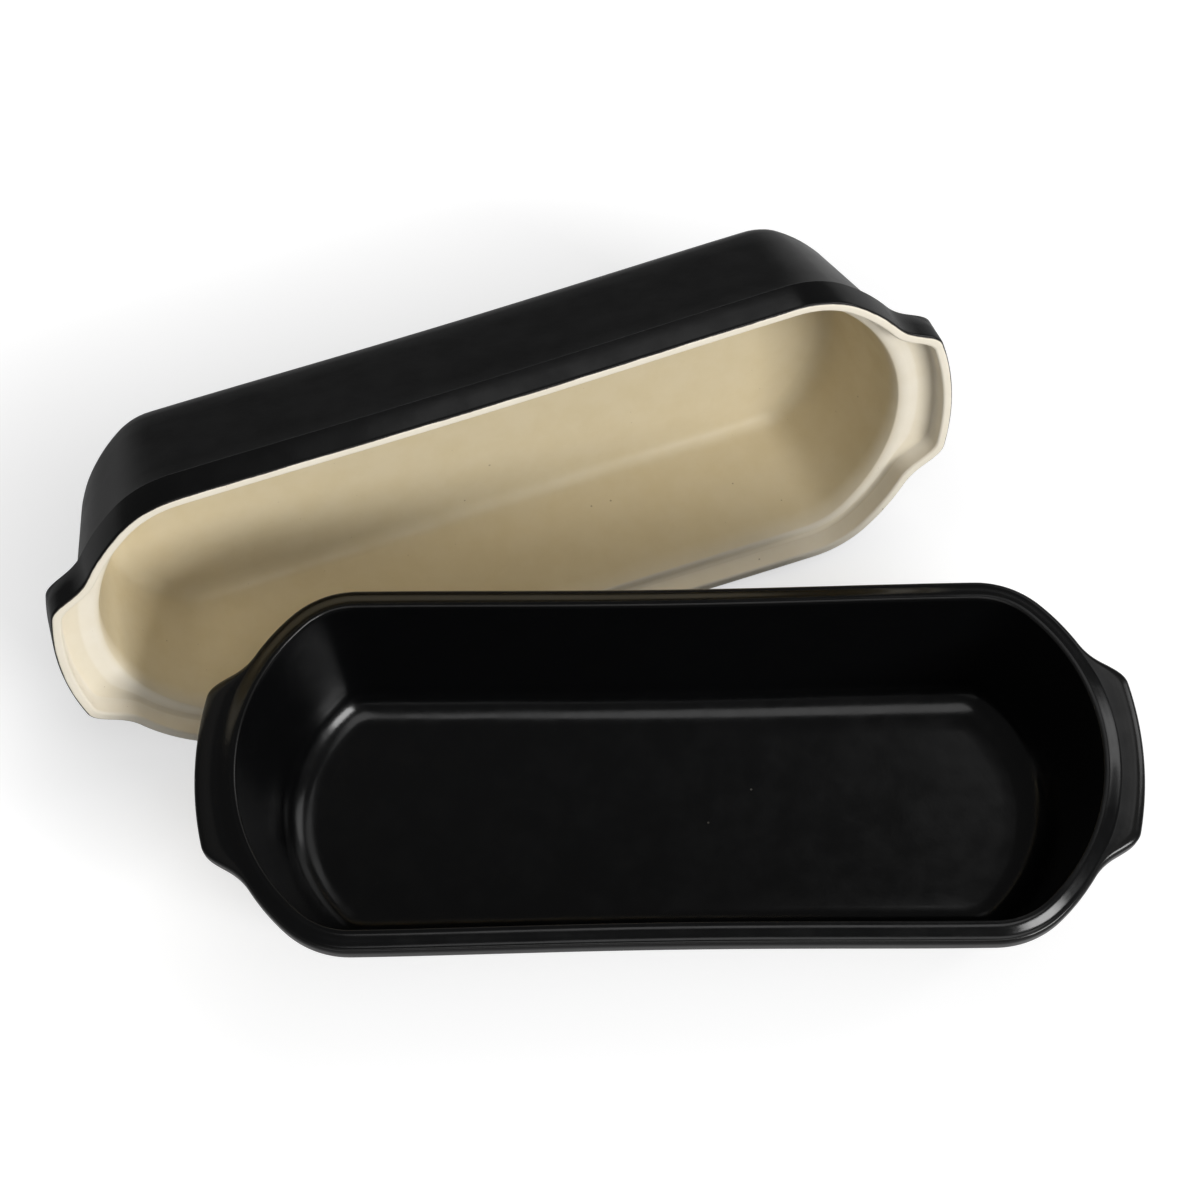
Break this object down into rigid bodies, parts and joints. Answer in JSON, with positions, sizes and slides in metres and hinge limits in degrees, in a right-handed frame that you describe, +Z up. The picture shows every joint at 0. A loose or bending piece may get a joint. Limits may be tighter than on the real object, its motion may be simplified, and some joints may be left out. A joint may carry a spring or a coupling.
{
  "type": "bread cloche",
  "caption": "Long lidded stoneware baking dish: a flanged base pan with a seating collar and end lugs, and a tall recessed lid that lies on its side beside it.",
  "frame": {"origin": "middle of the base's foot, on the surface it stands on", "axes": "+X along the base towards its right lug, +Y back towards the lid that lies behind it, +Z up"},
  "size_m": [0.4524, 0.3071, 0.1574],
  "materials": {
    "clay": "pale fired stoneware under a clear cream glaze",
    "charcoal_glaze": "satin charcoal glaze"
  },
  "bodies": {
    "base": {"base_body": "clay", "base_glaze": "charcoal_glaze"},
    "lid": {"lid_body": "clay", "lid_glaze": "charcoal_glaze"}
  },
  "joints": [
    {"name": "lid_lift", "type": "slide", "parent": "base", "child": "lid", "axis": [-0.0892, 0.2746, 0.9574], "range_m": [0, 0.16]}
  ]
}
